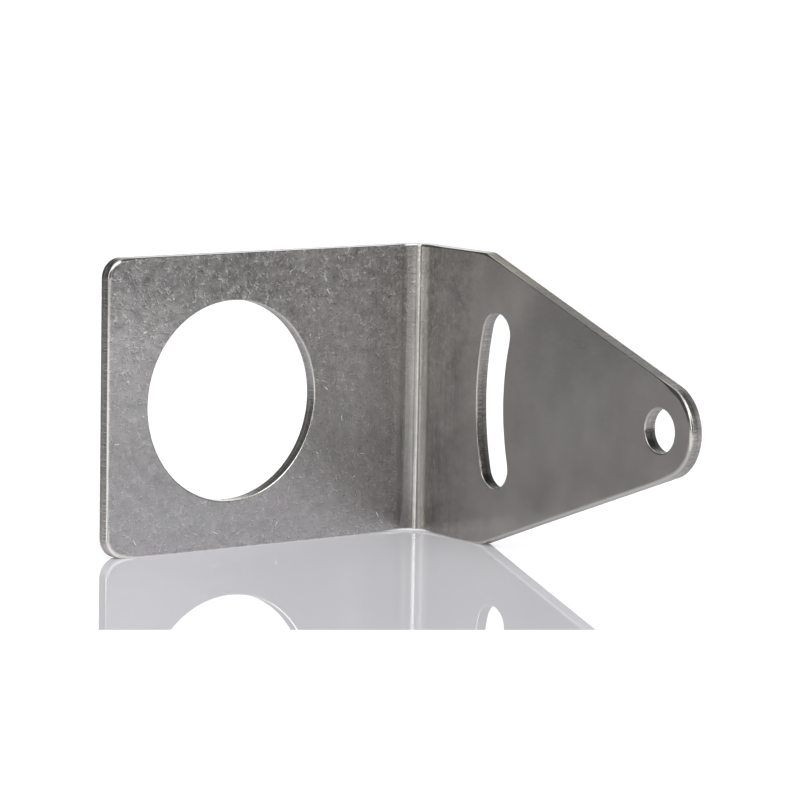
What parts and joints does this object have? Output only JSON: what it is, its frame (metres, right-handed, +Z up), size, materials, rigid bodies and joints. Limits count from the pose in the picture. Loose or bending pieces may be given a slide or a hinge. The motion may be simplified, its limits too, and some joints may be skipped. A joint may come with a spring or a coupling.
{
  "type": "sensor mounting bracket",
  "caption": "Bent steel angle bracket: a rectangular flange with a large round hole for a sensor barrel, and a tapered flange with a curved slot and a small pivot hole for setting its angle.",
  "frame": {"origin": "at floor level under the middle of the bracket's box, as it stands on the long edges of both flanges", "axes": "+Z up, along the bend. +Y is the outward normal of the sensor flange, along the axis of its large hole. +X is the outward normal of the pivot flange, along the axis of its small hole. The inside of the corner faces -X and -Y."},
  "size_m": [0.059, 0.0676, 0.045],
  "materials": {
    "stainless": "bare stainless sheet, tumbled after punching: dull grey with fine scratches, brighter rolled-over edges and sheared edge faces"
  },
  "bodies": {
    "root": {"bracket": "stainless"}
  },
  "joints": []
}
